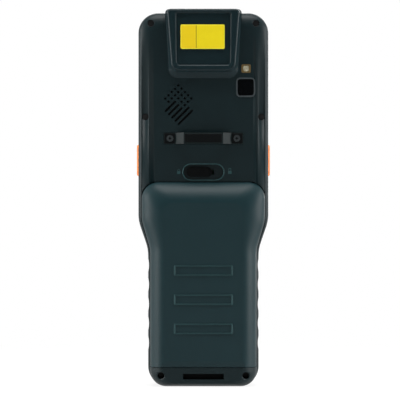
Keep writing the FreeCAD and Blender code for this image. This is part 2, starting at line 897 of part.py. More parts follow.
def scan_window():
    half = aperture_half_width + window_margin
    return block(-half, half, aperture_back + seat_gap, aperture_front + window_margin,
                 window_top - window_thickness, window_top)


def scan_engine():
    """Engine block on the board, with a step that leaves room for its mirror."""
    top = window_top - window_thickness - 0.3
    body = block(-engine_half_width, engine_half_width, engine_back, board_back - 0.2, top - engine_length, top)
    nose = block(-engine_half_width + 2, engine_half_width - 2, engine_back - 1, aperture_front - 4, top - 4, top + 1)
    return body.cut(nose)


def hood_plate():
    return prism(centred(plate_centre_x, plate_centre_z, plate_width, plate_height, plate_corner),
                 panel_plane - plate_thickness, panel_plane)


# Display and boards

def display_glass():
    return prism(rectangle(-glass_half_width, glass_half_width, glass_bottom, glass_top, glass_corner),
                 glass_back, glass_back + glass_thickness)


def display_module():
    return block(-module_half_width, module_half_width, module_back, module_front, view_bottom - module_margin,
                 view_top + module_margin)


def boss_room(radius, low, high):
    return [rod(x, z, radius, low, high) for x, z in screw_points()]


def inner_frame():
    """Metal frame that carries the display and, on four posts, the main board."""
    low = view_bottom - module_margin - frame_margin
    high = view_top + module_margin + frame_margin
    plate = block(-frame_half_width, frame_half_width, frame_back, frame_front, low, high)
    for cutter in boss_room(front_boss_radius + 0.3, frame_back - 1, frame_front + 1):
        plate = plate.cut(cutter)
    posts = [rod(side * post_offset, height, post_radius, board_front + seat_gap, frame_back + 0.1)
             for side in (1, -1) for height in (low + post_inset, high - post_inset)]
    return join(plate, posts)


def main_board():
    low = view_bottom - module_margin - frame_margin
    high = view_top + module_margin + frame_margin
    return block(-board_half_width, board_half_width, board_back, board_front, low, high)


# Sound, camera, flash and small pieces

def speaker_mesh():
    return rod(speaker_x, speaker_z, speaker_radius + mesh_margin, inner_back + seat_gap,
               inner_back + seat_gap + mesh_thickness)


def speaker():
    """Loudspeaker can with a stepped magnet."""
    low = inner_back + 2 * seat_gap + mesh_thickness
    can = rod(speaker_x, speaker_z, speaker_radius, low, low + speaker_thickness * 0.55)
    magnet = rod(speaker_x, speaker_z, speaker_radius * 0.6, low, low + speaker_thickness)
    return join(can, [magnet])


def camera_bezel():
    floor = back_plane + camera_recess
    outer = prism(centred(camera_x, camera_z, camera_width + 2 * bezel_width, camera_height + 2 * bezel_width,
                          camera_corner + bezel_width), back_plane - bezel_proud, floor)
    inner = prism(centred(camera_x, camera_z, camera_width + 2 * pocket_gap, camera_height + 2 * pocket_gap,
                          camera_corner), -far, far)
    return outer.cut(inner)


def camera_window():
    return prism(centred(camera_x, camera_z, camera_width, camera_height, camera_corner), back_plane - 0.05,
                 back_plane + camera_recess)


def camera_module():
    barrel = rod(camera_x, camera_z, barrel_radius, back_plane + camera_recess + seat_gap, camera_base_back + 0.5)
    base = prism(centred(camera_x, camera_z, camera_base, camera_base, 0.8), camera_base_back,
                 board_back - seat_gap)
    return join(barrel, [base])


def flash_bezel():
    outer = prism(centred(flash_x, flash_z, flash_width - 2 * pocket_gap, flash_height - 2 * pocket_gap,
                          flash_corner), back_plane - 0.1, back_plane + 1)
    inner = prism(centred(flash_x, flash_z, flash_lens_width, flash_lens_height, flash_corner), -far, far)
    return outer.cut(inner)


def flash_lens():
    return prism(centred(flash_x, flash_z, flash_lens_width - 2 * pocket_gap, flash_lens_height - 2 * pocket_gap,
                         flash_corner), back_plane, inner_back - 0.1)


def earpiece_mesh():
    return prism(centred(0, ear_slot_z, ear_slot_width + 2 * ear_mesh_margin,
                         ear_slot_height + 2 * ear_mesh_margin, 1.0), inner_front - seat_gap - mesh_thickness,
                 inner_front - seat_gap)


def dock_contacts():
    """Row of charging pads flush in the bottom end."""
    base = block(-dock_half_width, dock_half_width, dock_back, dock_front, 0.3, dock_depth)
    pads = []
    pitch = 2 * dock_half_width / dock_pads
    for index in range(dock_pads):
        x = -dock_half_width + pitch * (index + 0.5)
        pads.append(block(x - dock_pad_width / 2, x + dock_pad_width / 2, dock_back + 0.6, dock_front - 0.6,
                          0.1, 0.5))
    return join(base, pads)


# Strap bracket and screws

def strap_bracket():
    """Bridge for the hand strap: flat pads, sloping legs and a straight bar."""
    bar_top = strap_bar_under - strap_bar_thickness
    leg = strap_bar_thickness * 0.8
    right = [
        (strap_half_width, strap_floor), (strap_half_width, strap_pad_plane),
        (strap_pad_inner, strap_pad_plane), (strap_bar_half_width, bar_top),
    ]
    under = [
        (strap_bar_half_width - leg, strap_bar_under), (strap_pad_inner - leg, strap_floor),
    ]
    outline = right + [(-x, y) for x, y in reversed(right)]
    outline += [(-x, y) for x, y in reversed(under)] + under
    low = strap_height - strap_size / 2
    points = [Vector(x, y, low) for x, y in outline]
    face = Part.Face(Part.makePolygon(points + [points[0]]))
    solid = face.extrude(Vector(0, 0, strap_size))
    for side in (1, -1):
        hole = rod(side * strap_screw_offset, strap_height, strap_screw_radius + screw_gap, -far, far)
        solid = solid.cut(hole)
    return solid


def strap_screws():
    pieces = []
    for side in (1, -1):
        x = side * strap_screw_offset
        head = rod(x, strap_height, screw_recess_radius, strap_pad_plane - 0.8, strap_pad_plane)
        shank = rod(x, strap_height, strap_screw_radius, strap_pad_plane - 0.5,
                    strap_pad_plane + strap_screw_length - 0.2)
        pieces.append(join(head, [shank]))
    return Part.makeCompound(pieces)


def case_screws():
    pieces = []
    for x, z in screw_points():
        head = rod(x, z, screw_head_radius, screw_seat - screw_head_height, screw_seat)
        shank = rod(x, z, screw_radius, screw_seat - 0.5, screw_end)
        pieces.append(join(head, [shank]))
    return Part.makeCompound(pieces)


# Write every piece

pieces = {
    "rear_housing": rear_housing, "front_housing": front_housing, "housing_seal": housing_seal,
    "scanner_hood": scanner_hood, "hood_plate": hood_plate, "scan_window": scan_window,
    "scan_engine": scan_engine, "display_glass": display_glass, "display_module": display_module,
    "inner_frame": inner_frame, "main_board": main_board, "keypad_mat": keypad_mat,
    "keypad_board": keypad_board, "speaker": speaker, "speaker_mesh": speaker_mesh,
    "camera_window": camera_window, "camera_bezel": camera_bezel, "camera_module": camera_module,
    "flash_lens": flash_lens, "flash_bezel": flash_bezel, "earpiece_mesh": earpiece_mesh,
    "dock_contacts": dock_contacts, "side_switches": side_switches,
    "strap_bracket": strap_bracket, "strap_screws": strap_screws, "case_screws": case_screws,
    "battery_pack": battery_pack, "battery_contacts": battery_contacts, "battery_cover": battery_cover,
    "cover_seal": cover_seal, "lock_slider": lock_slider,
}
os.makedirs("parts", exist_ok=True)
for name, make in pieces.items():
    save(name, make())
save("right_trigger", side_button(1))
save("left_trigger", side_button(-1))
for name, x, z, width, height in key_places():
    save(name, key(x, z, width, height))
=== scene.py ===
# %% [markdown]
# A handheld barcode terminal seen from its back, built around a measured frame.
# Every solid comes in at its real size and place, so this script only dresses it:
# finishes, signs, fine parts, lights and a camera. The frame is in metres. The fine
# parts are worked out in millimetres and scaled once, when their mesh is made.

# %% Load the frame
import bpy
import bmesh
import math
import numpy as np
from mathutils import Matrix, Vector


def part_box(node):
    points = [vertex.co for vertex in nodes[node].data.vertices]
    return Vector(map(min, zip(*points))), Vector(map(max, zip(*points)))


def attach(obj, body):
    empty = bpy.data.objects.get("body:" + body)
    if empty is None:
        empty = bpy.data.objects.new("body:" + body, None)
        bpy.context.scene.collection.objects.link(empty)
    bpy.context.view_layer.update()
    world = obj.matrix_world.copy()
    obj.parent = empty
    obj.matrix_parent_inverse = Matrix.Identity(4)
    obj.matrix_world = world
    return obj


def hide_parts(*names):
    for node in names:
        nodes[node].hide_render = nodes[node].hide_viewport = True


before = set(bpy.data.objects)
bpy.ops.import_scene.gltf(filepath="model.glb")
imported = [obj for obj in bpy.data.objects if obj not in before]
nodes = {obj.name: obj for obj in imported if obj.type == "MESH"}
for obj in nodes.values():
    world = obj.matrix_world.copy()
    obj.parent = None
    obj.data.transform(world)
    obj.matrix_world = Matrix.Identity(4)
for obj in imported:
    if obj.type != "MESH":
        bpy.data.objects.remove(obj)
scene = bpy.context.scene
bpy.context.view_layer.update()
MM = 0.001
print("pieces in the frame:", len(nodes))

# %% [markdown]
# Shader maths reads best as plain expressions, such as `1 - mask * 0.3`.
# A small class wraps an output socket, and its operators add the Math nodes.
# One more method adds any other kind of node, so nothing else builds nodes by hand.

# %% Sockets that can be added and multiplied
class Wire:
    """An output socket. Arithmetic on it adds a Math node and gives the node's output."""

    def __init__(self, finish, socket):
        self.finish = finish
        self.socket = socket

    def __add__(self, other):
        return self.finish.math("ADD", self, other)

    def __sub__(self, other):
        return self.finish.math("SUBTRACT", self, other)

    def __rsub__(self, other):
        return self.finish.math("SUBTRACT", other, self)

    def __mul__(self, other):
        return self.finish.math("MULTIPLY", self, other)

    def __truediv__(self, other):
        return self.finish.math("DIVIDE", self, other)

    def __gt__(self, other):
        return self.finish.math("GREATER_THAN", self, other)

    def __lt__(self, other):
        return self.finish.math("LESS_THAN", self, other)

    def __abs__(self):
        return self.finish.node("Math", {"operation": "ABSOLUTE"}, n0=self)

    __radd__ = __add__
    __rmul__ = __mul__


class Nodes:
    """A node tree, and the one method that adds any kind of node to it."""

    def __init__(self, tree):
        self.tree = tree

    def node(self, kind, settings=None, output=0, **values):
        """Adds a node and sets its settings, then its sockets: Some_Name, or n and a number."""
        made = self.tree.nodes.new("ShaderNode" + kind)
        for name, value in (settings or {}).items():
            setattr(made, name, value)
        for name, value in values.items():
            numbered = name[0] == "n" and name[1:].isdigit()
            key = int(name[1:]) if numbered else name.replace("_", " ")
            self.join(value, made.inputs[key])
        return Wire(self, made.outputs[output])

    def join(self, value, socket):
        """Links a wire to a socket, or sets the socket to a plain value."""
        if isinstance(value, Wire):
            self.tree.links.new(value.socket, socket)
        elif isinstance(value, tuple) and len(value) == 3 and len(socket.default_value) == 4:
            socket.default_value = (*value, 1.0)
        else:
            socket.default_value = value

    def math(self, operation, first, second):
        """A Math node that works on two wires or numbers."""
        return self.node("Math", {"operation": operation}, n0=first, n1=second)

    def blend(self, share, first, second):
        """Colour between two others. Share 0 gives the first and 1 the second."""
        return self.node("Mix", {"data_type": "RGBA"}, 2, n0=share, n6=first, n7=second)

    def other(self, wire, output):
        """Another output of the node that a wire comes from."""
        return Wire(self, wire.socket.node.outputs[output])


class Finish(Nodes):
    """A material in the making: a Principled shader and the nodes that feed it."""

    def __init__(self, name, **fixed):
        self.material = bpy.data.materials.new(name)
        self.material.use_nodes = True
        super().__init__(self.material.node_tree)
        self.shader = self.tree.nodes["Principled BSDF"]
        for socket, value in fixed.items():
            self.shader.inputs[socket.replace("_", " ")].default_value = value

    def place(self):
        """Object coordinates, which are the frame's own metres."""
        return self.node("TexCoord", output=3)

    def axes(self):
        """Object coordinates as three separate wires."""
        split = self.node("SeparateXYZ", Vector=self.place())
        return [self.other(split, index) for index in range(3)]

    def noise(self, size, detail=3.0, roughness=0.5):
        """Soft noise whose patches are about one size across, in metres."""
        return self.node("TexNoise", Vector=self.place(), Scale=1 / size, Detail=detail, Roughness=roughness)

    def bump(self, height, depth):
        """Feeds the shader's Normal from a height map of the given depth in metres."""
        self.set("Normal", self.node("Bump", Height=height, Distance=depth, Strength=1.0))

    def set(self, socket, value):
        """Links a wire to one of the shader's sockets, or sets it to a plain value."""
        self.join(value, self.shader.inputs[socket])


def srgb(red, green, blue):
    """Linear colour from the 0-255 values that a screen shows."""
    def linear(value):
        share = value / 255
        return share / 12.92 if share <= 0.04045 else ((share + 0.055) / 1.055) ** 2.4
    return tuple(linear(value) for value in (red, green, blue))


print("a mid grey is", [round(value, 3) for value in srgb(128, 128, 128)])

# %% [markdown]
# The housings are moulded with a spark-eroded grain: pits a fifth of a millimetre wide
# that turn the gloss into a soft sheen. A noise of that size drives a shallow bump, and
# a much larger noise shifts colour and gloss a little, as handling does.

# %% Moulded plastic
PIT_WIDTH = 0.22 * MM
PIT_DEPTH = 0.02 * MM
SHALLOW_PIT = 0.01 * MM
PATCH_WIDTH = 18 * MM
UNEVEN_GLOSS = 0.05
SHEEN = 0.2
DULL_SHEEN = 0.08


def moulded(name, colour, worn, roughness=0.5, depth=PIT_DEPTH, sheen=SHEEN):
    """Textured plastic: fine noise for the grain, wide noise for handled patches."""
    finish = Finish(name, IOR=1.46, Specular_IOR_Level=sheen)
    patches = finish.noise(PATCH_WIDTH, 4.0, 0.6)
    speckle = finish.noise(PIT_WIDTH * 2.4, 2.0)
    finish.set("Base Color", finish.blend(patches * 0.7 + speckle * 0.3, colour, worn))
    finish.set("Roughness", patches * (2 * UNEVEN_GLOSS) + (roughness - UNEVEN_GLOSS))
    finish.bump(finish.noise(PIT_WIDTH, 1.0), depth)
    return finish.material


housing_plastic = moulded("housing_plastic", srgb(5, 21, 24), srgb(10, 28, 31), 0.46)
cover_plastic = moulded("cover_plastic", srgb(12, 35, 39), srgb(18, 42, 46), 0.46)
# A lighter copy of the plastic, for painted highlight on the edges of raised ribs, rims and marks.
painted_highlight_plastic = moulded("painted_highlight_plastic", srgb(30, 56, 58), srgb(38, 65, 67), 0.4, SHALLOW_PIT)
hood_plastic = moulded("hood_plastic", srgb(7, 25, 29), srgb(12, 31, 35), 0.4, SHALLOW_PIT)
leg_plastic = moulded("leg_plastic", srgb(6, 18, 19), srgb(11, 25, 26), 0.45, SHALLOW_PIT)
black_plastic = moulded("black_plastic", srgb(5, 7, 8), srgb(9, 12, 13), 0.5, sheen=DULL_SHEEN)
key_plastic = moulded("key_plastic", srgb(46, 50, 53), srgb(54, 58, 61), 0.45, SHALLOW_PIT)
orange_plastic = moulded("orange_plastic", srgb(228, 118, 42), srgb(238, 132, 56), 0.4, SHALLOW_PIT)
rubber = moulded("rubber", srgb(20, 21, 22), srgb(27, 28, 29), 0.75)
battery_case = moulded("battery_case", srgb(44, 46, 50), srgb(52, 54, 58), 0.55)
print("plastics:", len(bpy.data.materials))

# %% [markdown]
# Polished and metal parts have no moulded grain. Windows are a deep gloss black with the
# faint smears of wiping, so they mirror the lamps. Metals have a fine cast or plated
# grain. Rings, a cell pattern and a fine mesh make the flash lens, the boards and the
# cloth behind the speaker.

# %% Glass, metal and small finishes
CAST_GRAIN = 0.4 * MM
LENS_X, LENS_Z = 23.2 * MM, 172.7 * MM


def polished(name, colour, roughness=0.06):
    """Deep glossy surface with the faint smears that a wiped window keeps."""
    finish = Finish(name, IOR=1.5, Specular_IOR_Level=0.35)
    smeared = tuple(channel * 1.4 for channel in colour)
    finish.set("Base Color", finish.blend(finish.noise(20 * MM), colour, smeared))
    finish.set("Roughness", finish.noise(6 * MM, 4.0, 0.7) * 0.08 + roughness)
    return finish.material


def metal(name, colour, roughness, metallic=1.0):
    """Metal with a fine cast or plated grain in colour, gloss and relief."""
    finish = Finish(name, Metallic=metallic)
    grains = finish.noise(CAST_GRAIN)
    dimmer = tuple(channel * 0.75 for channel in colour)
    finish.set("Base Color", finish.blend(grains, colour, dimmer))
    finish.set("Roughness", grains * 0.15 + roughness)
    finish.bump(grains, SHALLOW_PIT)
    return finish.material


window_black = polished("window_black", srgb(3, 4, 5))
screen_black = polished("screen_black", srgb(14, 16, 20), 0.2)
bezel_metal = metal("bezel_metal", srgb(66, 74, 77), 0.38, 0.5)
flash_trim = metal("flash_trim", srgb(104, 84, 44), 0.4, 0.3)
screw_steel = metal("screw_steel", srgb(52, 58, 60), 0.4, 0.7)
black_steel = metal("black_steel", srgb(10, 12, 13), 0.5, 0.3)
frame_metal = metal("frame_metal", srgb(170, 172, 175), 0.42)
gold = metal("gold", srgb(222, 184, 96), 0.25)

lens = Finish("flash_lens", IOR=1.49)
centred = lens.node("Mapping", Vector=lens.place(), Location=(-LENS_X, 0.0, -LENS_Z))
rings = lens.node("TexWave", {"wave_type": "RINGS", "rings_direction": "Y"},
                  Vector=centred, Scale=1100.0, Distortion=0.0)
lens.set("Base Color", lens.blend(rings, srgb(128, 124, 100), srgb(160, 155, 130)))
lens.set("Roughness", rings * 0.1 + 0.15)
lens.bump(rings, 0.08 * MM)

board = Finish("circuit_board")
cells = board.node("TexVoronoi", {"feature": "DISTANCE_TO_EDGE"}, Vector=board.place(), Scale=420.0)
copper_field = cells > 0.06
board.set("Base Color", board.blend(copper_field, srgb(46, 112, 62), srgb(20, 66, 38)))
board.set("Roughness", copper_field * 0.2 + 0.3)

mesh_cloth = Finish("mesh_cloth", Specular_IOR_Level=0.1)
holes = mesh_cloth.node("TexVoronoi", {"feature": "F1"},
                        Vector=mesh_cloth.place(), Scale=2600.0, Randomness=0.0)
mesh_cloth.set("Base Color", mesh_cloth.blend(holes > 0.42, srgb(16, 18, 19), srgb(3, 3, 4)))
mesh_cloth.set("Roughness", holes * 0.3 + 0.4)
print("finishes:", len(bpy.data.materials))

# %% [markdown]
# The plate on the hood is a bright yellow film. It is left without print: the film has
# only plain keylines, a slightly lighter panel at its left and a fine border. Each is a
# mask worked out from the X and Z of the plate, as shares of its width and height.

# %% Yellow plate
PANEL_END, DIVIDER_AT, DIVIDER_HALF = 0.345, 0.355, 0.008
BORDER_X, BORDER_Z = 0.484, 0.47


def plate_finish():
    """Yellow film. A line is where the distance to its centre is under half its width."""
    low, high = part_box("hood_plate")
    finish = Finish("yellow_film", IOR=1.47)
    x, _, z = finish.axes()
    across = (x - float(low[0])) / float(high[0] - low[0])
    up = (z - float(low[2])) / float(high[2] - low[2])
    border = finish.math("MAXIMUM", abs(across - 0.5) > BORDER_X, abs(up - 0.5) > BORDER_Z)
    ground = finish.blend(finish.noise(4 * MM), srgb(208, 188, 3), srgb(218, 199, 8))
    panelled = finish.blend(across < PANEL_END, ground, srgb(214, 186, 8))
    lined = finish.blend(abs(across - DIVIDER_AT) < DIVIDER_HALF, panelled, srgb(120, 106, 10))
    finish.set("Base Color", finish.blend(border, lined, srgb(226, 214, 60)))
    finish.set("Roughness", finish.noise(3 * MM) * 0.1 + 0.34)
    return finish.material


yellow_film = plate_finish()
print("plate finish:", yellow_film.name)

# %% [markdown]
# Every solid of the frame stays where it is and takes one of these finishes. Whatever
# the table doesn't name is a key.

# %% Hand out the finishes
finish_of = {
    "rear_housing": housing_plastic, "front_housing": housing_plastic, "battery_cover": cover_plastic,
    "scanner_hood": hood_plastic, "hood_plate": yellow_film, "strap_bracket": leg_plastic,
    "lock_slider": black_plastic, "left_trigger": orange_plastic, "right_trigger": orange_plastic,
    "key_scan": orange_plastic, "housing_seal": rubber, "cover_seal": rubber, "keypad_mat": rubber,
    "display_glass": window_black, "scan_window": window_black, "camera_window": window_black,
    "display_module": screen_black, "camera_module": black_plastic, "speaker": black_plastic,
    "side_switches": black_plastic, "scan_engine": black_plastic, "camera_bezel": bezel_metal,
    "flash_bezel": flash_trim, "flash_lens": lens.material, "speaker_mesh": mesh_cloth.material,
    "earpiece_mesh": mesh_cloth.material, "case_screws": black_steel, "strap_screws": screw_steel,
    "inner_frame": frame_metal, "main_board": board.material, "keypad_board": board.material,
    "battery_contacts": gold, "dock_contacts": gold, "battery_pack": battery_case,
}
for name, piece in nodes.items():
    piece.data.materials.clear()
    piece.data.materials.append(finish_of.get(name, key_plastic))
print("dressed:", len(nodes))

# %% [markdown]
# The fine forms are worked out as grids of points. An outline is a polygon with rounded
# corners in X and Z. A shell joins one outline to the next at other depths, like the
# sections of a boat, and a bead carries a small round profile along an outline.

# %% Outlines
def outline(corners, steps=9):
    """Rounded polygon from corners of x, z and radius r.

    At each corner an arc of radius r touches both sides, at r / tan(half the corner's
    angle) from the corner. Its points turn evenly from the first touch to the last.
    """
    points = np.array([corner[:2] for corner in corners], float)
    radii = np.array([corner[2] for corner in corners], float)
    before = np.roll(points, 1, 0) - points
    after = np.roll(points, -1, 0) - points
    before /= np.linalg.norm(before, axis=1, keepdims=True)
    after /= np.linalg.norm(after, axis=1, keepdims=True)
    half = np.arccos(np.clip((before * after).sum(1), -1, 1)) / 2
    middle = before + after
    middle /= np.linalg.norm(middle, axis=1, keepdims=True)
    centre = points + middle * (radii / np.sin(half))[:, None]
    first = points + before * (radii / np.tan(half))[:, None] - centre
    last = points + after * (radii / np.tan(half))[:, None] - centre
    share = np.linspace(0, 1, steps)[None, :, None]
    angle = (np.pi - 2 * half)[:, None, None]
    arc = np.sin((1 - share) * angle) * first[:, None] + np.sin(share * angle) * last[:, None]
    return (centre[:, None] + arc / np.sin(angle)).reshape(-1, 2)


def outward(path):
    """Unit normals of a closed path that runs anticlockwise: its tangent turned by a right angle."""
    tangent = np.roll(path, -1, 0) - np.roll(path, 1, 0)
    normal = np.stack([tangent[:, 1], -tangent[:, 0]], 1)
    return normal / np.linalg.norm(normal, axis=1, keepdims=True)


def level(path, depth):
    """A path in X and Z set at a depth."""
    return np.stack([path[:, 0], np.full(len(path), float(depth)), path[:, 1]], 1)


def box_corners(x_low, x_high, z_low, z_high, radius):
    """Corners of an upright rectangle, for outline."""
    return [(x_low, z_low, radius), (x_high, z_low, radius),
            (x_high, z_high, radius), (x_low, z_high, radius)]


print("points on a rounded square:", len(outline(box_corners(-1, 1, -1, 1, 0.2))))

# %% [markdown]
# A moulded part shines evenly on its flats and turns the light softly over its edges.
# Smooth shading gives the second, but it bends the light near the rims of a flat, so
# faces that look straight along an axis are kept flat.

# %% Shells and beads
SHARP_ANGLE = math.radians(32)
STRAIGHT = 0.9999
BEAD_STEPS = 9


def shade(data):
    """Smooth shading, but with flat faces that look straight along an axis, so that they stay even."""
    data.shade_smooth()
    data.set_sharp_from_angle(angle=SHARP_ANGLE)
    facing = np.empty(len(data.polygons) * 3, np.float32)
    data.polygons.foreach_get("normal", facing)
    smooth = np.abs(facing.reshape(-1, 3)).max(1) < STRAIGHT
    data.polygons.foreach_set("use_smooth", smooth)


def new_piece(name, data, body, material):
    """Puts a mesh in the scene, shaded and facing outwards. With a body, it rides on it."""
    made = bmesh.new()
    made.from_mesh(data)
    bmesh.ops.recalc_face_normals(made, faces=made.faces)
    made.to_mesh(data)
    made.free()
    shade(data)
    piece = bpy.data.objects.new(name, data)
    scene.collection.objects.link(piece)
    data.materials.append(material)
    if body:
        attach(piece, body)
    return piece


def grid_mesh(name, rows, body, material, wrap_rows=False):
    """Joins rows of points in X, Y, Z (mm) into quads, closed along each row.

    The last row joins the first if rows wrap. Otherwise a flat cap closes either end.
    """
    count, length = rows.shape[:2]
    down = np.arange(count if wrap_rows else count - 1)[:, None]
    along = np.arange(length)[None, :]
    below = (down + 1) % count
    beside = (along + 1) % length
    quads = np.stack([down * length + along, below * length + along, below * length + beside,
                      down * length + beside], -1).reshape(-1, 4).tolist()
    if not wrap_rows:
        quads.append(list(range(length)))
        quads.append(list(range(count * length - 1, (count - 1) * length - 1, -1)))
    data = bpy.data.meshes.new(name)
    data.from_pydata((rows.reshape(-1, 3) * MM).tolist(), [], quads)
    return new_piece(name, data, body, material)


def bead(name, path, depth, width, height, body, material):
    """Raised line: half an ellipse, width across and height proud, carried along a closed path."""
    normal = outward(path)
    rows = [level(path + normal * (width / 2 * math.cos(turn)), depth - height * math.sin(turn))
            for turn in np.linspace(0, np.pi, BEAD_STEPS)]
    return grid_mesh(name, np.array(rows), body, material, wrap_rows=True)


def slab(name, path, low, high, body, slot, material, edge=0.12):
    """Thin plate with a bevelled edge, from one depth to another nearer the viewer."""
    rows = [level(path, low), level(path, high + edge), level(path - outward(path) * edge, high)]
    return grid_mesh(name, np.array(rows), body, material)


print("faces looking within", round(math.degrees(math.acos(STRAIGHT)), 1), "degrees of an axis stay flat")

# %% [markdown]
# The cover has three thumb ribs, each a thin raised outline, and a low rim runs round the
# recess of the lock. They are only a few tenths of a millimetre high, so beads make them,
# in a lighter plastic that is painted highlight for the light their edges catch.

# %% Thumb ribs and lock rim
CROWN_DEPTH, BACK_DEPTH = -16.58, -7.97
RIB_CENTRES = (31.6, 47.35, 63.1)
RIB_HALF_WIDTH, RIB_HALF_HEIGHT = 15.5, 2.45
LOCK_Z = 116.4
RECESS_HALF_WIDTH, RECESS_HALF_HEIGHT = 11.2, 4.4

for index, height in enumerate(RIB_CENTRES):
    rib = outline(box_corners(-RIB_HALF_WIDTH, RIB_HALF_WIDTH,
                              height - RIB_HALF_HEIGHT, height + RIB_HALF_HEIGHT, 0.5))
    bead(f"thumb_rib_{index + 1}", rib, CROWN_DEPTH, 0.9, 0.45, "cover", painted_highlight_plastic)
recess = outline(box_corners(-RECESS_HALF_WIDTH, RECESS_HALF_WIDTH,
                             LOCK_Z - RECESS_HALF_HEIGHT, LOCK_Z + RECESS_HALF_HEIGHT, 4.39))
bead("lock_rim", recess, BACK_DEPTH, 0.6, 0.2, "housing", painted_highlight_plastic)
print("beads:", len(RIB_CENTRES) + 1)

# %% [markdown]
# The scanner hood rises from a foot on the housing to a rounded rim, and a panel is sunk
# between the rim's arms. One shell makes it: fourteen outlines, each at its own depth.
# The exit slot in its top end, and the bay behind it, are then cut out with two boxes.

# %% Scanner hood
def cut(piece, cutters):
    """Cuts other meshes out of a piece, keeps the result as its mesh and removes the cutters."""
    for cutter in cutters:
        change = piece.modifiers.new("cut", "BOOLEAN")
        change.operation = "DIFFERENCE"
        change.solver = "EXACT"
        change.object = cutter
    bpy.context.view_layer.update()
    shaped = bpy.data.meshes.new_from_object(piece.evaluated_get(bpy.context.evaluated_depsgraph_get()))
    piece.modifiers.clear()
    piece.data = shaped
    for cutter in cutters:
        bpy.data.objects.remove(cutter)
    shade(shaped)


def cutter_mesh(name, rows):
    """A closed shell that only cuts, so it rides on nothing and goes once it has cut."""
    return grid_mesh(name, rows, None, black_plastic)


def box_rows(x_low, x_high, y_low, y_high, z_low, z_high):
    """A box as two rows of four points."""
    path = np.array([(x_low, z_low), (x_high, z_low), (x_high, z_high), (x_low, z_high)], float)
    return np.array([level(path, y_low), level(path, y_high)])


def tapered(bottom, top, low, high, radius, top_radius):
    """Outline of a form that widens upwards, from one half width to another."""
    return outline([(-bottom, low, radius), (bottom, low, radius),
                    (top, high, top_radius), (-top, high, top_radius)])


HOOD_END = 205.0
FOOT_START, FOOT_END, FOOT_STEP, FOOT_LIP = -3.4, -8.5, -8.62, 0.45
WALL_END, RIM_ROUND = -11.0, 1.4
PANEL_DEPTH, PANEL_ROUND, PANEL_SINK = -11.2, 1.1, 1.2
BAY = (-14, 14, -10.05, -1, 176.0, 201.4)
EXIT_SLOT = (-12.5, 12.5, -10.0, -4.6, 199.0, 207.0)

foot = tapered(19.0, 20.9, 167.5, HOOD_END, 5.5, 2.2)
wall = tapered(17.3, 19.9, 170.8, HOOD_END, 4.6, 2.2)
panel = tapered(14.3, 14.6, 174.7, 202.3, 1.6, 0.8)
sections = [level(foot, FOOT_START), level(foot, FOOT_END),
            level(foot - outward(foot) * FOOT_LIP, FOOT_STEP), level(wall, WALL_END)]
for turn in np.linspace(0.3, math.pi / 2, 5):
    inset = RIM_ROUND * (1 - math.cos(turn))
    sections.append(level(wall - outward(wall) * inset, WALL_END - RIM_ROUND * math.sin(turn)))
for turn in np.linspace(0.0, math.pi / 2, 5):
    outset = PANEL_ROUND * (1 - math.sin(turn))
    sections.append(level(panel + outward(panel) * outset, PANEL_DEPTH - PANEL_SINK * math.cos(turn)))
hood = grid_mesh("hood_shell", np.array(sections), "housing", hood_plastic)
cut(hood, [cutter_mesh("bay_cutter", box_rows(*BAY)), cutter_mesh("exit_cutter", box_rows(*EXIT_SLOT))])
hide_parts("scanner_hood")
print("hood faces:", len(hood.data.polygons))

# %% [markdown]
# The edge of the rear housing is a wide soft shoulder: a quarter ellipse nine millimetres
# across and five and a half deep. A cutter with that profile is carried up one side,
# over the top and down the other, and shaves a copy of the solid.

# %% Soft shoulder of the rear housing
LOWER_HALF, UPPER_HALF = 30.15, 35.45
WAIST_LOW, WAIST_HIGH, BODY_TOP = 74.5, 89.9, 203.2
WAIST_ROUND, TOP_ROUND, BOTTOM_ROUND = 22, 10.9, 10.5
CORNER_POINTS = 15
CUTTER_FOOT = 14.0
SHOULDER_ACROSS, SHOULDER_DEEP, SHOULDER_TOP, SHOULDER_TURNS = 9, 5.5, -2.5, 19
CUTTER_OUT, CUTTER_IN, CUTTER_FLOOR, CUTTER_BACK = 3.0, -9.4, -8.02, -12.0
WELD = 0.002 * MM


def shoulder_rows():
    """Rows of the cutter. Each point of its profile is a distance out from the path, and a depth."""
    right = [(LOWER_HALF, 0, BOTTOM_ROUND), (LOWER_HALF, WAIST_LOW, WAIST_ROUND),
             (UPPER_HALF, WAIST_HIGH, WAIST_ROUND), (UPPER_HALF, BODY_TOP, TOP_ROUND)]
    left = [(-x, z, radius) for x, z, radius in reversed(right)]
    body = outline(left[-1:] + right + left[:-1], CORNER_POINTS)
    upper = slice(2 * CORNER_POINTS, None)
    start = np.array([[LOWER_HALF, CUTTER_FOOT]])
    path = np.concatenate([start, body[upper], start * (-1, 1)])
    normal = np.concatenate([[[1.0, 0.0]], outward(body)[upper], [[-1.0, 0.0]]])
    profile = [(CUTTER_OUT, CUTTER_BACK), (CUTTER_OUT, SHOULDER_TOP)]
    for turn in np.linspace(0, math.pi / 2, SHOULDER_TURNS):
        inward = SHOULDER_ACROSS * (1 - math.cos(turn))
        profile.append((-inward, SHOULDER_TOP - SHOULDER_DEEP * math.sin(turn)))
    profile += [(CUTTER_IN, CUTTER_FLOOR), (CUTTER_IN, CUTTER_BACK)]
    return np.stack([level(path + normal * out, depth) for out, depth in profile], 1)


def merged_copy(name):
    """A copy of a node's mesh with its loose triangles joined."""
    data = nodes[name].data.copy()
    made = bmesh.new()
    made.from_mesh(data)
    bmesh.ops.remove_doubles(made, verts=made.verts, dist=WELD)
    made.to_mesh(data)
    made.free()
    return data


shell = bpy.data.objects.new("rear_shell", merged_copy("rear_housing"))
scene.collection.objects.link(shell)
cut(shell, [cutter_mesh("shoulder_cutter", shoulder_rows())])
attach(shell, "housing")
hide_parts("rear_housing")
print("rear shell faces:", len(shell.data.polygons))
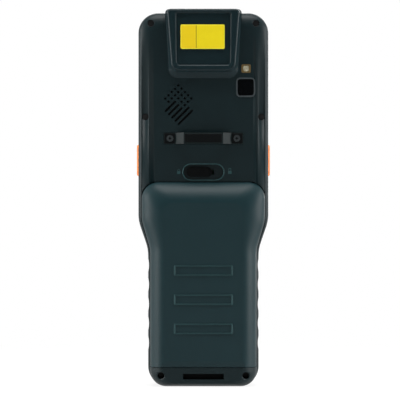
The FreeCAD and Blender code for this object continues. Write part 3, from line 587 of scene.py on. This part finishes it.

# %% [markdown]
# The strap bracket's bar and its two pads carry thin black plates of painted shade, for the
# dark that their flat faces show, so its legs and edges read as lighter lines round them.
# The cross recesses in the heads of its screws are thin black crosses of painted shade.

# %% Strap bracket
STRAP_Z = 134.75
SCREW_X = 18.2
BAR_SHADE_DEPTHS, PAD_SHADE_DEPTHS, CROSS_SHADE_DEPTHS = (-13.5, -13.92), (-7.7, -8.0), (-8.65, -8.73)


def plus(x, z, reach, half):
    """Outline of an upright cross."""
    corners = [(half, -reach), (half, -half), (reach, -half), (reach, half),
               (half, half), (half, reach), (-half, reach), (-half, half),
               (-reach, half), (-reach, -half), (-half, -half), (-half, -reach)]
    return outline([(x + across, z + up, 0.05) for across, up in corners], 3)


# Black plates of painted shade on the bar and pads of the bracket.
bar = outline(box_corners(-10.1, 10.1, STRAP_Z - 2.35, STRAP_Z + 2.35, 0.5))
slab("bar_painted_shade", bar, *BAR_SHADE_DEPTHS, "housing", "bracket", black_plastic)
for side, word in ((1, "right"), (-1, "left")):
    low, high = sorted((side * 15.5, side * 21.2))
    pad = outline(box_corners(low, high, STRAP_Z - 2.7, STRAP_Z + 2.7, 0.5))
    slab(f"pad_painted_shade_{word}", pad, *PAD_SHADE_DEPTHS, "housing", "bracket", black_plastic)
# Black crosses of painted shade where the screw heads have their cross recesses.
for side, word in ((1, "right"), (-1, "left")):
    cross = plus(side * SCREW_X, STRAP_Z, 0.85, 0.22)
    slab(f"screw_recess_shade_{word}", cross, *CROSS_SHADE_DEPTHS, "housing", "bracket", window_black, 0.02)
print("strap bracket at height", STRAP_Z, "with screws", 2 * SCREW_X, "apart")

# %% [markdown]
# The lock's knob slides in an oval recess. A thin skirt under the knob hides the slot
# that its stem runs in, and a small shut and open padlock mark the two ends. The strap
# slot at the bottom of the back gets a black plate of painted shade, for the dark inside it.

# %% Lock and strap slot
SKIRT, PADLOCK, SLOT_SHADE_DEPTHS = (-6.75, -6.95), (-7.95, -8.04), (-7.9, -8.25)
SHACKLE_DEPTH = -7.99
SHUT_X, OPEN_X, OPEN_LIFT = -13.4, 14.4, 0.55

skirt = outline(box_corners(-9.0, 4.7, LOCK_Z - 2.7, LOCK_Z + 2.7, 2.69))
slab("lock_skirt", skirt, *SKIRT, "lock", "slider", black_plastic)
# The padlocks take the lighter plastic of painted highlight.
for x, word, lift in ((SHUT_X, "shut", 0.0), (OPEN_X, "open", OPEN_LIFT)):
    case = outline(box_corners(x - 0.95, x + 0.95, LOCK_Z - 1.0, LOCK_Z + 0.5, 0.25))
    slab(f"padlock_{word}", case, *PADLOCK, "housing", "housing", painted_highlight_plastic, 0.02)
    loop = outline(box_corners(x - 0.6, x + 0.6, LOCK_Z + lift - 0.2, LOCK_Z + 1.5 + lift, 0.59))
    bead(f"shackle_{word}", loop, SHACKLE_DEPTH, 0.3, 0.06, "housing", painted_highlight_plastic)
# A black plate of painted shade inside the strap slot, for the dark of the deep slot.
strap_slot = outline(box_corners(-10.9, 10.9, 0.4, 7.2, 0.4))
slab("slot_painted_shade", strap_slot, *SLOT_SHADE_DEPTHS, "housing", "housing", black_plastic)

# %% [markdown]
# The photograph doesn't show the front, so it is that of any such terminal. The glass has
# a thin line round the lit area of the display, made as a very low bead.

# %% Display border
GLASS_FACE = 15.9
BORDER_HALF, BORDER_HEIGHT = 0.35, 0.06

view = outline(box_corners(-27.0, 27.0, 100.0, 188.0, 1.2))
border_rows = [level(view + outward(view) * (BORDER_HALF * math.cos(turn)),
                     GLASS_FACE + BORDER_HEIGHT * math.sin(turn))
               for turn in np.linspace(0, math.pi, 5)]
grid_mesh("view_border", np.array(border_rows), "housing", leg_plastic, wrap_rows=True)
print("display border points:", len(view))

# %% [markdown]
# Each key has a printed legend: a digit, or a simple sign drawn as a closed outline. They
# are thin solids that stand a few hundredths of a millimetre proud of the caps. Text is
# made a mesh first and then put in its place, so that its object stays at the origin.

# %% Digits on the keys
KEY_FACE = 17.0
LEGEND_HALF, LEGEND_LIFT = 0.05, 0.03
DIGIT_SIZE, DOT_SIZE, HASH_SIZE = 5.0, 6.5, 4.6
legend_ink = moulded("legend_ink", srgb(214, 218, 220), srgb(226, 229, 231), 0.5, SHALLOW_PIT / 2)


def cap_middle(key):
    """The middle of a key, in mm."""
    low, high = (np.array(corner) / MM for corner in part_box(f"key_{key}"))
    return (low + high) / 2


def legend(key, word, size):
    """Centred text on a key, made a mesh, turned to the front and lifted off the cap."""
    name = f"legend_{key}"
    data = bpy.data.curves.new(name, "FONT")
    data.body = word
    data.size = size
    data.extrude = LEGEND_HALF
    data.align_x = "CENTER"
    data.align_y = "CENTER"
    data.resolution_u = 3
    text = bpy.data.objects.new(name, data)
    scene.collection.objects.link(text)
    bpy.context.view_layer.update()
    mesh = bpy.data.meshes.new_from_object(text.evaluated_get(bpy.context.evaluated_depsgraph_get()))
    bpy.data.objects.remove(text)
    middle = cap_middle(key)
    flat = np.empty(len(mesh.vertices) * 3, np.float32)
    mesh.vertices.foreach_get("co", flat)
    flat = flat.reshape(-1, 3)
    centre = (flat.min(0) + flat.max(0)) / 2
    height = np.full(len(flat), KEY_FACE) + flat[:, 2] + LEGEND_LIFT
    placed = np.stack([middle[0] - (flat[:, 0] - centre[0]), height,
                       middle[2] + (flat[:, 1] - centre[1])], 1)
    mesh.vertices.foreach_set("co", (placed * MM).astype(np.float32).ravel())
    mesh.update()
    mesh.materials.clear()
    mesh.materials.append(legend_ink)
    piece = bpy.data.objects.new(name, mesh)
    scene.collection.objects.link(piece)
    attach(piece, f"key_{key}_body")


for digit in range(10):
    legend(digit, str(digit), DIGIT_SIZE)
legend("dot", ".", DOT_SIZE)
legend("hash", "#", HASH_SIZE)

# %% [markdown]
# The other keys carry plain signs. A shape that has a name is turned or mirrored by
# swapping and negating its two numbers, and the simplest are written in the table.

# %% Signs on the keys
def sign(key, corners):
    """A sign on a key: a closed outline in the key's own X and Z, seen from the front."""
    middle = cap_middle(key)
    path = outline([(middle[0] - x, middle[2] + z, 0.12) for x, z in corners], 3)
    top = KEY_FACE + LEGEND_HALF + LEGEND_LIFT
    rows = np.array([level(path, KEY_FACE - LEGEND_HALF), level(path, top)])
    grid_mesh(f"sign_{key}", rows, f"key_{key}_body", legend_ink)


triangle = [(0.0, 1.5), (-1.5, -1.0), (1.5, -1.0)]
hook = [(2.2, 1.6), (2.2, -0.6), (-0.4, -0.6), (-0.4, -1.5), (-2.2, -0.25), (-0.4, 1.0), (-0.4, 0.15),
        (1.5, 0.15), (1.5, 1.6)]
arrow = [(0.0, 2.0), (-1.7, 0.2), (-0.7, 0.2), (-0.7, -1.6), (0.7, -1.6), (0.7, 0.2), (1.7, 0.2)]
bars = [(-1.8, -0.3), (-1.8, 0.3), (1.8, 0.3), (1.8, -0.3)]
signs = {
    "up": triangle, "down": [(x, -z) for x, z in triangle], "left": [(-z, x) for x, z in triangle],
    "right": [(z, x) for x, z in triangle], "enter": hook, "back": [(-z, x) for x, z in arrow],
    "shift": arrow, "tab": [(z, x) for x, z in arrow], "clear": bars,
    "menu": [(-1.4, -1.4), (-1.4, 1.4), (1.4, 1.4), (1.4, -1.4)],
    "function": [(0, 1.7), (-1.7, 0), (0, -1.7), (1.7, 0)],
    "power": [(-0.3, -1.7), (-0.3, 1.7), (0.3, 1.7), (0.3, -1.7)],
    "soft_left": bars, "soft_right": bars,
}
for key, corners in signs.items():
    sign(key, corners)
print("signs:", len(signs))

# %% [markdown]
# The photograph looks straight at the back. One of its pixels is a little over half a
# millimetre on the object, so a long lens at 1.3 metres with the same scale at the back
# face gives its frame.

# %% Camera
scene.view_settings.view_transform = "Standard"
PIXEL = 0.5438 * MM
IMAGE_PIXELS = 400
CENTRE_X, CENTRE_Z = -3.4 * PIXEL, 186.1 * PIXEL
DISTANCE = 1.3
BACK_PLANE = -8 * MM

camera_data = bpy.data.cameras.new("camera")
camera = bpy.data.objects.new("camera", camera_data)
scene.collection.objects.link(camera)
camera.location = (CENTRE_X, BACK_PLANE - DISTANCE, CENTRE_Z)
camera.rotation_euler = (math.pi / 2, 0, 0)
camera_data.lens = camera_data.sensor_width * DISTANCE / (IMAGE_PIXELS * PIXEL)
scene.camera = camera
print("lens in mm:", round(camera_data.lens, 1))

# %% [markdown]
# A plain catalogue light: large soft lamps at both sides and above, so that slopes shine
# and flat faces stay dark. A very weak one near the floor opens the shade under the chin,
# and one at the far side lights the front for the other views.

# %% Lamps
def soft_lamp(name, place, target, width, height, power):
    """Rectangular lamp at a place, turned to face a target."""
    data = bpy.data.lights.new(name, "AREA")
    data.shape = "RECTANGLE"
    data.size = width
    data.size_y = height
    data.energy = power
    lamp = bpy.data.objects.new(name, data)
    lamp.location = place
    lamp.rotation_euler = (Vector(target) - Vector(place)).to_track_quat("-Z", "Y").to_euler()
    scene.collection.objects.link(lamp)
    lamp.visible_camera = False


MIDDLE = (0.0, 0.0, 0.1)
CHIN = (0.0, 0.0, 0.04)
soft_lamp("left_lamp", (-0.85, -0.10, 0.16), MIDDLE, 0.35, 0.8, 10.5)
soft_lamp("right_lamp", (0.85, -0.10, 0.16), MIDDLE, 0.35, 0.8, 10.5)
soft_lamp("top_lamp", (0.0, -0.20, 0.97), MIDDLE, 0.8, 0.4, 11.5)
soft_lamp("low_lamp", (0.0, -0.45, 0.012), CHIN, 0.4, 0.02, 0.1)
soft_lamp("rear_lamp", (0.2, 1.0, 0.5), MIDDLE, 0.9, 0.9, 14.0)
print("lamps:", len(bpy.data.lights))

# %% [markdown]
# The background is white paper behind the object, and the room on the camera's side is
# dim. Rays from the camera see plain white anywhere. Mirrored rays see the white paper
# only where they leave towards it, so rounded edges shine and flat faces stay deep.

# %% Floor and white background
ROOM_LIGHT = 0.03
PAPER_FROM, PAPER_FULL = -0.05, 0.3
FLOOR_SHARE = 0.86
SHADE_END, WHITE_FROM = 0.08, 0.35
FLOOR_HALF = 3.0
WHITE = (1.0, 1.0, 1.0)


def studio_world():
    """Dim world for light, white for the camera, and white paper behind in mirrored rays."""
    world = bpy.data.worlds.new("studio")
    scene.world = world
    world.use_nodes = True
    paper = Nodes(world.node_tree)
    rays = paper.node("LightPath")
    mirrored = paper.math("MAXIMUM", paper.other(rays, "Is Glossy Ray"),
                          paper.other(rays, "Is Transmission Ray"))
    depth = paper.other(paper.node("SeparateXYZ", Vector=paper.node("TexCoord")), 1)
    behind = paper.node("MapRange", Value=depth, From_Min=PAPER_FROM, From_Max=PAPER_FULL)
    seen = paper.math("MAXIMUM", paper.other(rays, "Is Camera Ray"), mirrored * behind)
    dim = paper.node("Background", Color=WHITE, Strength=ROOM_LIGHT)
    white = paper.node("Background", Color=WHITE, Strength=1.0)
    mixed = paper.node("MixShader", n0=seen, n1=dim, n2=white)
    paper.join(mixed, paper.tree.nodes["World Output"].inputs["Surface"])


def studio_floor():
    """Floor that keeps some real shade near the object and fades to plain white around it."""
    data = bpy.data.meshes.new("floor")
    corners = [(-FLOOR_HALF, -FLOOR_HALF, 0), (FLOOR_HALF, -FLOOR_HALF, 0),
               (FLOOR_HALF, FLOOR_HALF, 0), (-FLOOR_HALF, FLOOR_HALF, 0)]
    data.from_pydata(corners, [], [(0, 1, 2, 3)])
    floor = bpy.data.objects.new("floor", data)
    scene.collection.objects.link(floor)
    paint = Finish("floor_paint", Roughness=0.9, Base_Color=(0.85, 0.85, 0.85, 1.0))
    away = paint.node("VectorMath", {"operation": "LENGTH"}, 1, n0=paint.place())
    share = paint.node("MapRange", Value=away, From_Min=SHADE_END, From_Max=WHITE_FROM,
                       To_Min=FLOOR_SHARE, To_Max=1.0)
    rays = paint.node("LightPath")
    seen = paint.math("MAXIMUM", paint.other(rays, "Is Camera Ray"), paint.other(rays, "Is Glossy Ray"))
    seen = paint.math("MAXIMUM", seen, paint.other(rays, "Is Transmission Ray"))
    lit = Wire(paint, paint.shader.outputs[0])
    glow = paint.node("Emission", Color=WHITE, Strength=1.0)
    mixed = paint.node("MixShader", n0=seen * share, n1=lit, n2=glow)
    paint.join(mixed, paint.tree.nodes["Material Output"].inputs["Surface"])
    data.materials.append(paint.material)


studio_world()
studio_floor()
print("world:", scene.world.name)
